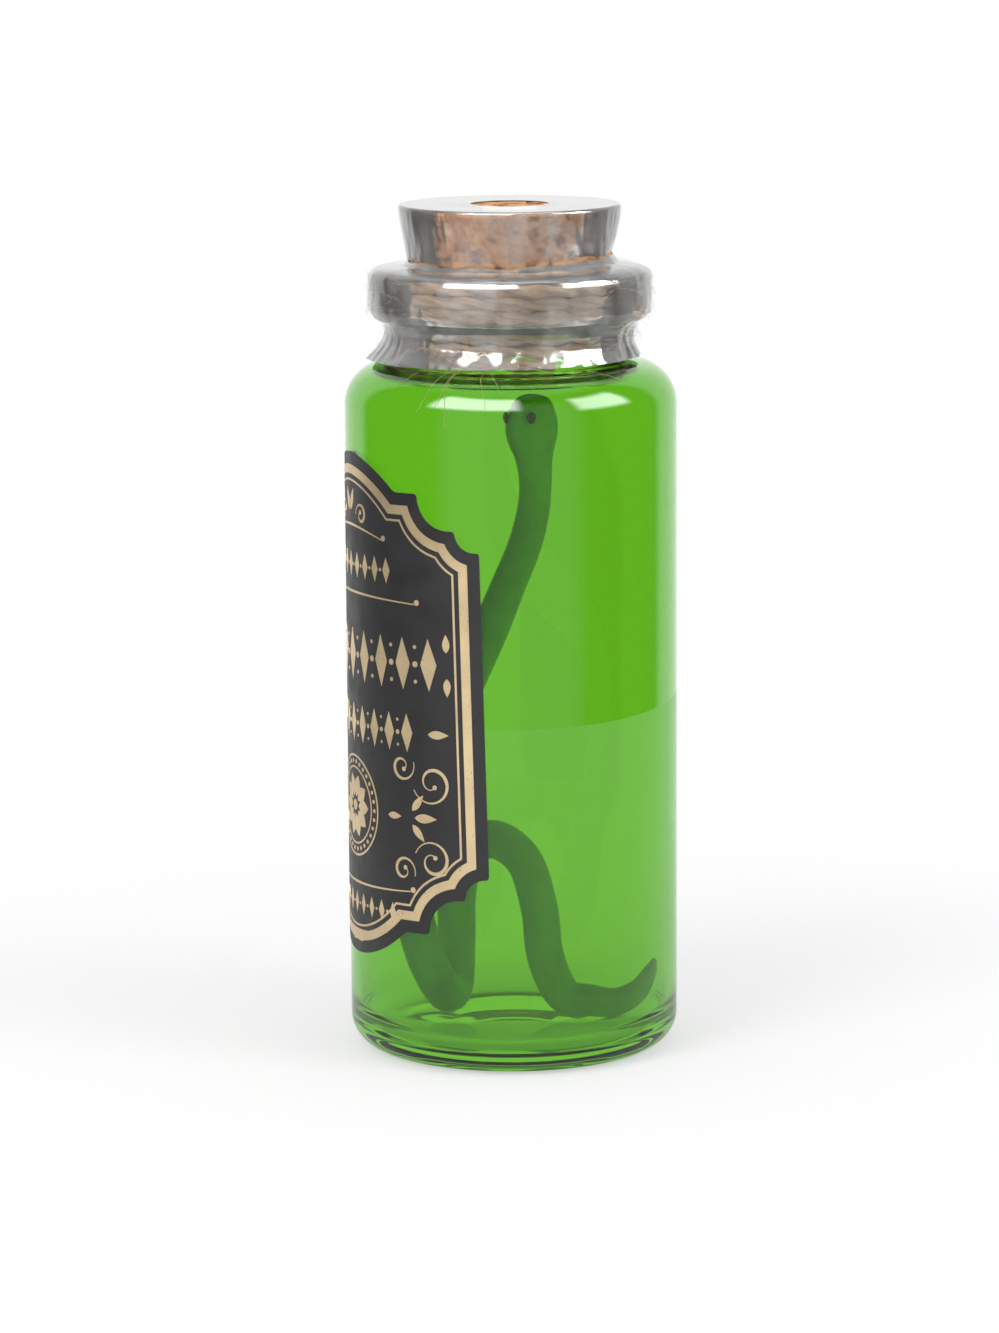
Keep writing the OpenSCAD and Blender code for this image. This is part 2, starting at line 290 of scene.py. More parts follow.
def carried(path, first):
    """Directions, sides and ups along a path, carried from point to point without twist."""
    directions = np.gradient(path, axis=0)
    directions /= np.linalg.norm(directions, axis=1)[:, None]
    sides = np.empty_like(path)
    side = np.array(first, float)
    for i, direction in enumerate(directions):
        side = side - side.dot(direction) * direction
        side /= np.linalg.norm(side)
        sides[i] = side
    return directions, sides, np.cross(directions, sides)


class Strands:
    """Gathers tubes into one mesh, with a UV map that runs along and round them in millimetres."""

    def __init__(self):
        self.points = []
        self.faces = []
        self.uvs = []

    def add(self, path, wide, thick=None, sides=6, first=(0, 0, 1), relief=None):
        """Adds a closed tube along a path; wide and thick are its half sizes at each point."""
        path = np.asarray(path, float)
        wide = np.broadcast_to(wide, len(path))
        thick = wide if thick is None else np.broadcast_to(thick, len(path))
        _, side, up = carried(path, first)
        angles = np.arange(sides) * math.tau / sides
        gone = np.concatenate([[0], np.cumsum(np.linalg.norm(np.diff(path, axis=0), axis=1))])
        grown = np.zeros((len(path), sides)) if relief is None else relief(gone[:, None], angles)
        across = (wide[:, None] + grown) * np.cos(angles)
        over = (thick[:, None] + grown) * np.sin(angles)
        rings = path[:, None] + across[..., None] * side[:, None] + over[..., None] * up[:, None]
        start = len(self.points)
        self.points.extend(rings.reshape(-1, 3).tolist())
        along = gone / MM
        girth = math.tau * float(wide.max()) / MM
        for k in range(len(path) - 1):
            for i in range(sides):
                low, high = start + k * sides, start + (k + 1) * sides
                j = (i + 1) % sides
                self.faces.append((low + i, low + j, high + j, high + i))
                v, w = girth * i / sides, girth * (i + 1) / sides
                self.uvs += [(along[k], v), (along[k], w), (along[k + 1], w), (along[k + 1], v)]
        for k, order in ((0, -1), (len(path) - 1, 1)):
            ring = [start + k * sides + i for i in range(sides)][::order]
            self.faces.append(tuple(ring))
            self.uvs += [(along[k], 0)] * sides

    def build(self, name):
        """Makes the mesh and its object."""
        mesh = bpy.data.meshes.new(name)
        mesh.from_pydata(self.points, [], self.faces)
        uv = mesh.uv_layers.new(name="UVMap")
        uv.data.foreach_set("uv", np.array(self.uvs, np.float32).ravel())
        mesh.shade_smooth()
        piece = bpy.data.objects.new(name, mesh)
        bpy.context.scene.collection.objects.link(piece)
        return piece


# Materials


class Recipe:
    """Builds the nodes of a material or of the world."""

    def __init__(self, name, tree=None):
        if tree is None:
            self.material = bpy.data.materials.new(name)
            self.material.use_nodes = True
            tree = self.material.node_tree
            self.surface = tree.nodes["Principled BSDF"]
            self.out = tree.nodes["Material Output"]
        self.tree = tree

    def node(self, kind, inputs=None, **settings):
        """Adds a node; inputs are values or the sockets that feed them."""
        made = self.tree.nodes.new("ShaderNode" + kind)
        for key, value in settings.items():
            setattr(made, key, value)
        self.feed(made, inputs or {})
        return made

    def feed(self, made, inputs):
        """Sets or links a node's inputs."""
        for socket, value in inputs.items():
            if isinstance(value, bpy.types.NodeSocket):
                self.tree.links.new(value, made.inputs[socket])
            else:
                made.inputs[socket].default_value = value

    def math(self, operation, a, b=0.0, c=0.0):
        """Adds a Math node and returns its output."""
        return self.node("Math", {0: a, 1: b, 2: c}, operation=operation).outputs[0]

    def fade(self, value, start, end, low=0.0, high=1.0):
        """Runs smoothly from low to high as value goes from start to end."""
        return self.node("MapRange", {0: value, 1: start, 2: end, 3: low, 4: high},
                         interpolation_type="SMOOTHSTEP").outputs[0]

    def coordinates(self, source="Object", scale=(1, 1, 1)):
        """Coordinates of the piece, scaled."""
        spot = self.node("TexCoord").outputs[source]
        return self.node("Mapping", {"Vector": spot, "Scale": scale}).outputs[0]

    def noise(self, spot, scale, detail=4.0, roughness=0.5):
        """Adds a noise texture and returns its value."""
        return self.node("TexNoise", {"Vector": spot, "Scale": scale, "Detail": detail,
                                      "Roughness": roughness}).outputs[0]

    def ramp(self, value, *stops):
        """Adds a colour ramp; each stop is a place and a colour."""
        made = self.node("ValToRGB", {0: value})
        elements = made.color_ramp.elements
        for i, (at, rgb) in enumerate(stops):
            element = elements[i] if i < 2 else elements.new(at)
            element.position = at
            element.color = (*rgb, 1)
        return made.outputs[0]

    def mix(self, share_, a, b, blend="MIX"):
        """Mixes two colours."""
        made = self.node("Mix", {0: share_}, data_type="RGBA", blend_type=blend)
        for socket, value in ((6, a), (7, b)):
            value = value if isinstance(value, bpy.types.NodeSocket) else (*value, 1)
            self.feed(made, {socket: value})
        return made.outputs[2]

    def bump(self, height, distance, strength=1.0):
        """Feeds a bump of this height to the surface."""
        made = self.node("Bump", {"Height": height, "Distance": distance, "Strength": strength})
        self.feed(self.surface, {"Normal": made.outputs[0]})

    def plain(self, **values):
        """Sets the surface's own sockets; underscores stand for spaces."""
        self.feed(self.surface, {key.replace("_", " "): value for key, value in values.items()})


def glass_materials(settings):
    """Lacquered glass for the outside and clear glass for the inside and the lip."""
    lacquered = Recipe("green_glass")
    lacquered.plain(Base_Color=(*settings.tint, 1), Roughness=0.0, IOR=1.5,
                    Transmission_Weight=1.0)
    clear = Recipe("clear_glass")
    clear.plain(Base_Color=(1, 1, 1, 1), Roughness=0.0, IOR=1.5, Transmission_Weight=1.0)
    return [lacquered.material, clear.material]


def cork_material(settings):
    """Pressed cork: granules of several tones with dark pores."""
    cork = Recipe("cork")
    tone = cork.node("Attribute", attribute_name="tone").outputs["Fac"]
    pore = cork.node("Attribute", attribute_name="pore").outputs["Fac"]
    spot = cork.coordinates()
    fine = cork.noise(spot, 1500, 5, 0.65)
    mixed = cork.math("MULTIPLY_ADD", fine, 0.7, cork.math("MULTIPLY_ADD", tone, 0.75, -0.2))
    base = cork.ramp(mixed, (0.12, settings.dark), (0.85, settings.pale), (0.42, settings.middle))
    rgb = cork.mix(cork.math("MULTIPLY", pore, 0.8), base, settings.dark)
    cork.feed(cork.surface, {"Base Color": rgb})
    cork.plain(Roughness=0.8, Specular_IOR_Level=0.3)
    cork.bump(fine, 0.12 * MM)
    return cork.material


def jute_material(settings):
    """Jute with fine fibres along the ply."""
    jute = Recipe("jute")
    along = jute.coordinates("UV", (0.12, 5, 1))
    fibres = jute.noise(along, 1.6, 4, 0.6)
    patches = jute.noise(jute.coordinates("UV", (0.3, 0.3, 1)), 1.0, 2)
    value = jute.math("MULTIPLY_ADD", fibres, 0.8, jute.math("MULTIPLY_ADD", patches, 0.5, -0.15))
    rgb = jute.ramp(value, (0.22, settings.dark), (0.78, settings.pale), (0.5, settings.middle))
    jute.feed(jute.surface, {"Base Color": rgb})
    jute.plain(Roughness=0.75, Specular_IOR_Level=0.35)
    jute.bump(fibres, 0.25 * MM)
    return jute.material


def paper_materials(settings):
    """Coated black paper and its pale cut edge."""
    paper = Recipe("black_paper")
    spot = paper.coordinates()
    wear = paper.noise(spot, 900, 6, 0.7)
    scuffs = paper.fade(wear, 0.66, 0.78)
    rgb = paper.mix(paper.math("MULTIPLY", scuffs, 0.25), settings.paper, (0.2, 0.19, 0.17))
    paper.feed(paper.surface, {"Base Color": rgb})
    paper.feed(paper.surface, {"Roughness": paper.fade(paper.noise(spot, 260, 3), 0.3, 0.7,
                                                       0.42, 0.55)})
    paper.plain(Specular_IOR_Level=0.4)
    paper.bump(wear, 0.02 * MM)
    edge = Recipe("paper_edge")
    torn = edge.noise(edge.coordinates(), 1400, 3)
    edge.feed(edge.surface, {"Base Color": edge.ramp(torn, (0.45, settings.paper),
                                                     (0.6, (0.5, 0.5, 0.46)))})
    edge.plain(Roughness=0.8)
    return [paper.material, edge.material]


def gold_material(settings):
    """Gold print with worn specks."""
    gold = Recipe("gold_print")
    spot = gold.coordinates()
    broad = gold.noise(spot, 140, 3)
    specks = gold.fade(gold.noise(spot, 2600, 3, 0.6), 0.62, 0.72)
    pale = [min(1, c * 1.15) for c in settings.gold]
    deep = [c * 0.62 for c in settings.gold]
    rgb = gold.mix(broad, deep, pale)
    worn = gold.mix(gold.math("MULTIPLY", specks, 0.55), rgb, settings.paper_shade)
    gold.feed(gold.surface, {"Base Color": worn})
    gold.plain(Roughness=0.38, Metallic=0.7)
    return gold.material


def film_material(settings):
    """Clear film: see-through head on, with a faint milky haze and glossy wrinkles."""
    film = Recipe("clear_film")
    haze = film.noise(film.coordinates(scale=(1, 1, 0.4)), 320, 3)
    milk = film.fade(haze, 0.35, 0.75, settings.haze * 0.35, settings.haze * 1.9)
    rim = film.node("LayerWeight", {"Blend": 0.35}).outputs["Facing"]
    edge = film.math("MULTIPLY", film.math("POWER", rim, 2.5), 0.55)
    body = film.math("ADD", milk, edge)
    clear = film.node("BsdfTransparent")
    film.plain(Base_Color=(0.9, 0.9, 0.88, 1), Roughness=0.16, Specular_IOR_Level=0.6)
    gloss = film.node("BsdfGlossy", {"Color": (1, 1, 1, 1), "Roughness": 0.1})
    head_on = film.node("Fresnel", {"IOR": 1.45}).outputs[0]
    sheet = film.node("MixShader", {0: body, 1: clear.outputs[0], 2: film.surface.outputs[0]})
    whole = film.node("MixShader", {0: head_on, 1: sheet.outputs[0], 2: gloss.outputs[0]})
    film.feed(film.out, {"Surface": whole.outputs[0]})
    return film.material


def rubber_material(settings):
    """Soft translucent rubber."""
    rubber = Recipe("snake_rubber")
    cloud = rubber.noise(rubber.coordinates(), 260, 3)
    deep = [c * 0.55 for c in settings.rubber]
    rubber.feed(rubber.surface, {"Base Color": rubber.mix(cloud, deep, settings.rubber)})
    rubber.plain(Roughness=0.3, IOR=1.42, Transmission_Weight=0.45)
    return rubber.material


def eye_material(settings):
    """Glossy dark paint."""
    eye = Recipe("eye_paint")
    shade = eye.noise(eye.coordinates(), 900, 2)
    eye.feed(eye.surface, {"Base Color": eye.mix(shade, settings.eye, (0.12, 0.03, 0.01))})
    eye.plain(Roughness=0.25)
    return eye.material


def floor_material(settings):
    """A matt white floor whose shadow fades out into white round the vial."""
    floor = Recipe("floor_white")
    path = floor.node("LightPath")
    spot = floor.node("TexCoord").outputs["Object"]
    reach = floor.node("VectorMath", {0: spot}, operation="LENGTH").outputs["Value"]
    near = floor.fade(reach, 0.05, 0.16, 0.5, 1.0)
    seen = floor.math("MAXIMUM", path.outputs["Is Camera Ray"],
                      path.outputs["Is Transmission Ray"])
    floor.plain(Base_Color=(0.92, 0.92, 0.92, 1), Roughness=0.9, Specular_IOR_Level=0.1)
    white = floor.node("Emission", {"Color": (1, 1, 1, 1), "Strength": 1.0})
    mixed = floor.node("MixShader", {0: floor.math("MULTIPLY", seen, near),
                                     1: floor.surface.outputs[0], 2: white.outputs[0]})
    floor.feed(floor.out, {"Surface": mixed.outputs[0]})
    return floor.material


# Operators


class VIAL_OT_stage(Operator):
    """Sets up the camera, the floor, the lamps and the world"""
    bl_idname = "vial.stage"
    bl_label = "Stage"

    def execute(self, context):
        settings = context.scene.vial_stage
        self.camera(context, settings)
        self.floor(settings)
        self.lamp("key_lamp", place(0.62, math.radians(-38), 0.5), 0.34, settings.key)
        self.lamp("fill_lamp", place(0.62, math.radians(62), 0.42), 0.3, settings.fill)
        self.world(context, settings)
        context.scene.view_settings.view_transform = "Standard"
        cycles = context.scene.cycles
        cycles.max_bounces = 24
        cycles.transmission_bounces = 24
        cycles.glossy_bounces = 8
        cycles.transparent_max_bounces = 24
        return {"FINISHED"}

    def camera(self, context, settings):
        """Stands the camera where the photograph was taken from."""
        select_none()
        bpy.ops.object.camera_add()
        camera = context.object
        camera.name = "camera"
        camera.data.lens = settings.lens
        aim = (Matrix.Rotation(-settings.camera_right, 4, "Z")
               @ Matrix.Rotation(math.pi / 2 - settings.camera_down, 4, "X")
               @ Matrix.Rotation(settings.camera_roll, 4, "Z"))
        camera.matrix_world = Matrix.Translation(settings.camera_place) @ aim
        context.scene.camera = camera

    def floor(self, settings):
        """Lays a round floor a hair below the glass."""
        select_none()
        bpy.ops.mesh.primitive_circle_add(vertices=96, radius=settings.floor_radius,
                                          fill_type="NGON", location=(0, 0, -0.05 * MM))
        floor = bpy.context.object
        floor.name = "floor"
        floor.data.materials.append(floor_material(settings))

    def lamp(self, name, spot, width, power):
        """Hangs a soft square lamp that faces the vial."""
        select_none()
        bpy.ops.object.light_add(type="AREA", location=spot)
        lamp = bpy.context.object
        lamp.name = name
        lamp.data.size = width
        lamp.data.energy = power
        aim = Vector((0, 0, LIP_TOP / 2)) - spot
        lamp.rotation_euler = aim.to_track_quat("-Z", "Y").to_euler()
        lamp.visible_glossy = False
        lamp.visible_transmission = False

    def world(self, context, settings):
        """White behind everything, even on matt surfaces, and a studio in what gloss reflects."""
        world = bpy.data.worlds.new("studio")
        world.use_nodes = True
        context.scene.world = world
        sky = Recipe("studio", world.node_tree)
        heading = sky.node("SeparateXYZ", {0: sky.node("TexCoord").outputs["Generated"]})
        x, y, z = heading.outputs[0], heading.outputs[1], heading.outputs[2]
        angle = sky.math("ARCTAN2", x, sky.math("MULTIPLY", y, -1.0))
        rise = sky.math("ARCSINE", z)

        def panel(middle, half, low, high, soft, strength):
            """A soft-edged panel of light, its angles in degrees."""
            off = sky.math("ABSOLUTE", sky.math("WRAP", sky.math("SUBTRACT", angle,
                           math.radians(middle)), math.pi, -math.pi))
            wide = sky.fade(off, math.radians(half + soft), math.radians(half - soft))
            over = sky.fade(rise, math.radians(low - soft), math.radians(low + soft))
            under = sky.fade(rise, math.radians(high + soft), math.radians(high - soft))
            return sky.math("MULTIPLY", sky.math("MULTIPLY", wide, over),
                            sky.math("MULTIPLY", under, strength))

        glow = 0.06
        for lit in (panel(180, 58, -90, 100, 6, 1.0), panel(0, 48, -90, 40, 10, 0.7),
                    panel(0, 190, 60, 100, 8, 0.8), panel(-28, 34, 24, 54, 5, 14.0),
                    panel(72, 22, 18, 46, 5, 12.0)):
            glow = sky.math("ADD", lit, glow)
        path = sky.node("LightPath")
        seen = sky.math("MAXIMUM", path.outputs["Is Camera Ray"],
                        path.outputs["Is Transmission Ray"])
        level = sky.node("Mix", {0: path.outputs["Is Glossy Ray"], 2: settings.ambient, 3: glow})
        strength = sky.node("Mix", {0: seen, 2: level.outputs[0], 3: 1.0})
        background = world.node_tree.nodes["Background"]
        sky.feed(background, {"Color": (1, 1, 1, 1), "Strength": strength.outputs[0]})


class VIAL_OT_glass(Operator):
    """Turns the vial from its outline and gives it lacquered and clear glass"""
    bl_idname = "vial.glass"
    bl_label = "Glass"

    def execute(self, context):
        s = context.scene.vial_glass
        punt_edge = 0.6 * MM
        neck_fillet = 1 * MM
        lip_low = s.shoulder_top + s.neck_height
        inner_r = BODY_R - s.wall
        inner_shoulder = s.shoulder_radius - s.wall
        outside = [(0, s.punt_depth), (s.punt_radius - punt_edge, s.punt_depth),
                   (s.punt_radius + punt_edge, 0)]
        outside += arc((BODY_R - s.heel_radius, s.heel_radius), s.heel_radius, -90, 0)
        outside += arc((BODY_R - s.shoulder_radius, s.shoulder_top - s.shoulder_radius),
                       s.shoulder_radius, 0, 90)
        outside += arc((s.neck_radius + neck_fillet, s.shoulder_top + neck_fillet),
                       neck_fillet, 270, 180, 15)
        lip = [(s.neck_radius, lip_low)]
        lip += arc((s.lip_radius - s.lip_edge, lip_low + s.lip_edge), s.lip_edge, -90, 0, 15)
        lip += arc((s.lip_radius - s.lip_edge, LIP_TOP - s.lip_edge), s.lip_edge, 0, 90, 15)
        taper = context.scene.vial_cork.taper
        inside = [(s.mouth_radius, LIP_TOP),
                  (s.bore_radius, LIP_TOP - (s.mouth_radius - s.bore_radius) / taper)]
        inside += arc((s.bore_radius + s.wall, s.shoulder_top), s.wall, 180, 270, 15)
        inside += arc((inner_r - inner_shoulder, s.shoulder_top - s.shoulder_radius),
                      inner_shoulder, 90, 0)
        inside += arc((inner_r - s.heel_radius, s.base + s.heel_radius), s.heel_radius, 0, -90)
        inside += [(0, s.base)]
        outline = outside + lip + inside
        glass = lathe("vial_glass", outline, s.steps)
        lacquered = len(outside)
        stretch_slots(glass, outline, [0 if i < lacquered else 1 for i in range(len(outline) - 1)])
        smooth(glass)
        finish_piece(glass, glass_materials(s), "vial", ["glass_vial"])
        return {"FINISHED"}


class VIAL_OT_cork(Operator):
    """Turns the cork and presses granules and pores into it"""
    bl_idname = "vial.cork"
    bl_label = "Cork"

    def execute(self, context):
        s = context.scene.vial_cork
        top_r = cork_high.x
        low_r = top_r - (cork_high.z - cork_low.z - s.bevel) * s.taper
        outline = [(0, cork_low.z), (low_r - s.bevel, cork_low.z), (low_r, cork_low.z + s.bevel),
                   (top_r, cork_high.z - s.bevel), (top_r - s.bevel, cork_high.z),
                   (0, cork_high.z)]
        steps = round(math.tau * top_r / s.cell)
        cork = lathe("cork_stopper_body", filled_in(outline, s.cell), steps)
        self.press(cork, s)
        smooth(cork, 180)
        finish_piece(cork, [cork_material(s)], "stopper", ["cork_stopper"])
        return {"FINISHED"}

    def press(self, cork, s):
        """Sinks the seams between granules and the pores, and keeps both as attributes."""
        mesh = cork.data
        tone = mesh.attributes.new("tone", "FLOAT", "POINT")
        pore = mesh.attributes.new("pore", "FLOAT", "POINT")
        normals = [vertex.normal.copy() for vertex in mesh.vertices]
        for i, vertex in enumerate(mesh.vertices):
            spot = vertex.co.copy()
            wobble = Vector(noise.noise_vector(spot / s.granule * 1.3)) * 0.25
            away, nearest = noise.voronoi(spot / s.granule + wobble)
            seam = 1 - min(1, (away[1] - away[0]) / 0.22)
            tone.data[i].value = 0.5 + 0.5 * noise.cell(nearest[0] * 7.7)
            grain = noise.noise(Vector((spot.x, spot.y, spot.z * 1.6)) / (1.5 * MM))
            hole = max(0.0, min(1.0, (grain - 0.34) / 0.16))
            pore.data[i].value = max(hole, 0.35 * seam)
            rough = 0.03 * MM * noise.noise(spot / (0.5 * MM))
            sunk = s.relief * seam * seam + s.pit * hole + 0.04 * MM
            vertex.co = spot - normals[i] * (sunk - rough)


class VIAL_OT_twine(Operator):
    """Winds two-ply twine round the lip and the neck, with its loose fibres"""
    bl_idname = "vial.twine"
    bl_label = "Twine"

    def execute(self, context):
        s = context.scene.vial_twine
        g = context.scene.vial_glass
        jute = jute_material(s)
        rand = random.Random(5)
        lip_r = g.lip_radius + s.thickness / 2
        neck_r = g.neck_radius + s.thickness / 2
        lip = self.winding(s, lip_r, LIP_TOP - 0.725 * MM, s.lip_start, s.lip_turns, 1, -s.pitch)
        neck = self.winding(s, neck_r, g.shoulder_top + 1 * MM, s.neck_start, s.neck_turns, -1,
                            s.pitch)
        for name, path, node in (("lip_twine_plies", lip, "lip_twine"),
                                 ("neck_twine_plies", neck, "neck_twine")):
            strands = Strands()
            self.plies(strands, s, path, rand)
            lift = 0.25 * MM if node == "lip_twine" else 0.9 * MM
            for _ in range(s.fibres):
                self.fibre(strands, s, path, lift, rand)
            if node == "neck_twine":
                self.frayed_end(strands, s, g, rand)
            piece = strands.build(name)
            finish_piece(piece, [jute], "vial", [node])
        return {"FINISHED"}

    def winding(self, s, radius, height, start, turns, way, rise):
        """The twine's line, with ends that run straight on for one thickness."""
        steps = round(turns * math.tau * radius / (0.42 * MM))
        points = []
        for i in range(steps + 1):
            gone = turns * i / steps
            points.append(place(radius, start + way * gone * math.tau, height + rise * gone))
        head = points[0] - (points[1] - points[0]).normalized() * s.thickness
        tail = points[-1] + (points[-1] - points[-2]).normalized() * s.thickness
        return np.array([head, *points, tail])

    def plies(self, strands, s, path, rand):
        """Twists two plies round the line, a little uneven."""
        gone = np.concatenate([[0], np.cumsum(np.linalg.norm(np.diff(path, axis=0), axis=1))])
        _, side, up = carried(path, (0, 0, 1))
        ply_r = s.thickness * 0.29
        phase = math.tau * gone / s.lay + 0.5 * np.sin(gone / (7 * MM))
        for k in (0, math.pi):
            off = s.thickness * 0.235
            line = path + off * (np.cos(phase + k)[:, None] * side + np.sin(phase + k)[:, None] * up)
            uneven = 1 + 0.07 * np.sin(gone / (2.3 * MM) + rand.uniform(0, 6)) \
                + 0.05 * np.sin(gone / (0.9 * MM) + rand.uniform(0, 6))

            def ribs(along, angles):
                return 0.035 * MM * np.sin(5 * angles + along / (0.5 * MM))

            strands.add(line, ply_r * uneven, sides=12, relief=ribs)

    def fibre(self, strands, s, path, lift, rand):
        """A loose fibre that leaves the twine's surface and comes back towards it."""
        at = rand.randrange(4, len(path) - 4)
        way = rand.choice((-1, 1))
        ahead = (path[at + 1] - path[at - 1]) * way
        ahead /= np.linalg.norm(ahead)
        outward = np.array([path[at][0], path[at][1], 0])
        outward /= np.linalg.norm(outward)
        height = np.array([0, 0, 1.0])
        around = rand.uniform(-1.2, 1.2)
        base = outward * math.cos(around) + height * math.sin(around)
        root = path[at] + base * s.thickness * 0.42
        span = rand.uniform(1.5, 7) * MM
        rise = lift * rand.uniform(0.2, 1) ** 2
        drift = rand.uniform(-0.35, 0.35)
        line = []
        for i in range(9):
            t = i / 8
            bulge = 4 * t * (1 - 0.75 * t)
            spot = root + ahead * span * t + height * span * drift * t * t
            spot += base * (rise * bulge / 1.33) - base * 0
            flat = np.array([spot[0], spot[1], 0])
            keep = np.linalg.norm(path[at][:2]) + s.thickness * 0.36 * math.cos(around)
            reach = np.linalg.norm(flat)
            if reach < keep + rise * bulge:
                spot[:2] *= (keep + rise * bulge) / reach
            line.append(spot)
        thin = rand.uniform(0.018, 0.04) * MM
        strands.add(line, thin * np.linspace(1, 0.4, 9), sides=3)

    def frayed_end(self, strands, s, g, rand):
        """The frayed start of the neck's winding, low on the front left, and its drooping fibres."""
        for _ in range(260):
            a = math.radians(rand.gauss(-30, 12))
            z = g.shoulder_top + rand.uniform(0.3, 3.0) * MM
            r = g.neck_radius + rand.uniform(1.5, 2.3) * MM
            run = rand.uniform(0.06, 0.22) * rand.choice((-1, 1))
            sag = rand.uniform(-0.8, 1.0) * MM
            puff = rand.uniform(0.1, 0.7) * MM
            line = []
            for i in range(9):
                t = i / 8
                bow = math.sin(math.pi * t)
                low = max(z + sag * (t - 0.5) * 2 + 0.3 * MM * bow, g.shoulder_top + 0.15 * MM)
                line.append(place(r + puff * bow, a + run * (t - 0.5), low))
            strands.add(line, rand.uniform(0.025, 0.06) * MM * np.linspace(1, 0.5, 9), sides=3)
        for a, drop, swing in ((-24, 7.5, 1), (-23, 4.5, -4), (-12, 4.6, 3), (-27, 5.5, -7),
                               (-8, 2.5, 4), (32, 1.0, 14), (-40, 2.0, -6)):
            self.drooping(strands, g, math.radians(a), drop * MM, math.radians(swing), rand)

    def drooping(self, strands, g, angle, drop, swing, rand):
        """A fibre that hangs from the neck down over the shoulder."""
        centre_r = BODY_R - g.shoulder_radius
        centre_z = g.shoulder_top - g.shoulder_radius
        clear = g.shoulder_radius + 0.12 * MM
        line = [place(g.neck_radius + 1.6 * MM, angle, g.shoulder_top + 1.6 * MM)]
        line.append(place(g.neck_radius + 1.9 * MM, angle, g.shoulder_top + 0.6 * MM))
        steps = 12
        flat = 6 * MM
        for i in range(1, steps + 1):
            t = i / steps
            gone = t * (drop + flat)
            slide = max(0.0, gone - (flat - 3.2 * MM))
            bend = min(math.pi / 2, slide / clear)
            below = max(0.0, slide - clear * math.pi / 2)
            near = centre_r if slide > 0 else g.neck_radius + 1.9 * MM + gone * 0.1
            r = centre_r + clear * math.sin(bend) if slide > 0 else near
            z = centre_z + clear * math.cos(bend) - below
            line.append(place(r, angle + swing * t * t + 0.01 * math.sin(9 * t), z))
        strands.add(line, 0.045 * MM * np.linspace(1, 0.5, len(line)), sides=4)


def label_corner(s, inset):
    """The upper right quarter of the label's outline, inset, as stretches between its ears."""
    half_w, half_h = s.width / 2, s.height / 2
    small_r, large_r = 2.9 * MM, 4.9 * MM
    small = (half_w - 0.6 * MM, half_h - 9.9 * MM)
    large = (small[0] - small_r - 0.8 * MM, small[1] + large_r + 0.1 * MM)
    arch_rise = 4.7 * MM
    arch_half = large[0] - large_r - 0.9 * MM - 3.2 * MM
    arch_r = (arch_half ** 2 + arch_rise ** 2) / (2 * arch_rise)
    arch = (0, half_h - arch_r)
    small_r, large_r, arch_r = small_r + inset, large_r + inset, arch_r - inset
    side_x, flat_z = half_w - inset, half_h - arch_rise - inset

    def angle_at(centre, point):
        return math.degrees(math.atan2(point[1] - centre[1], point[0] - centre[0])) % 360

    gap = math.dist(small, large)
    reach = (small_r ** 2 - large_r ** 2 + gap ** 2) / (2 * gap)
    off = math.sqrt(max(0.0, small_r ** 2 - reach ** 2))
    dx, dz = (large[0] - small[0]) / gap, (large[1] - small[1]) / gap
    ear = (small[0] + dx * reach + dz * off, small[1] + dz * reach - dx * off)
    ear_other = (small[0] + dx * reach - dz * off, small[1] + dz * reach + dx * off)
    ear = min(ear, ear_other)
    low = (side_x, small[1] - math.sqrt(max(0.0, small_r ** 2 - (side_x - small[0]) ** 2)))
    notch_end = (large[0] - math.sqrt(max(0.0, large_r ** 2 - (large[1] - flat_z) ** 2)), flat_z)
    arch_end = (math.sqrt(arch_r ** 2 - (flat_z - arch[1]) ** 2), flat_z)
    return [
        [(side_x, 0), (side_x, low[1] / 2), low],
        arc(small, small_r, angle_at(small, low), angle_at(small, ear), 9),
        arc(large, large_r, angle_at(large, ear), angle_at(large, notch_end), 9),
        [notch_end, arch_end],
        arc(arch, arch_r, angle_at(arch, arch_end), 90, 4),
    ]


def label_line(s, inset, counts=(8, 8, 10, 3, 14)):
    """The whole outline, inset, with the same number of points whatever the inset."""
    quarter = []
    for stretch, number in zip(label_corner(s, inset), counts):
        gone = [0.0]
        for a, b in zip(stretch, stretch[1:]):
            gone.append(gone[-1] + math.dist(a, b))
        for i in range(number):
            at = gone[-1] * i / number
            quarter.append((float(np.interp(at, gone, [p[0] for p in stretch])),
                            float(np.interp(at, gone, [p[1] for p in stretch]))))
    top = stretch[-1]
    right = quarter + [top]
    left = [(-x, y) for x, y in reversed(quarter[1:])] + [(-quarter[0][0], 0)]
    upper = right + left
    lower = [(-x, -y) for x, y in upper[1:-1]]
    return upper + lower


def wrapped(s, x, y, radius):
    """Where a point of the flat label lands on the glass."""
    across = x * math.cos(s.tilt) - y * math.sin(s.tilt)
    up = x * math.sin(s.tilt) + y * math.cos(s.tilt)
    return place(radius, s.place + across / BODY_R, s.middle + up)


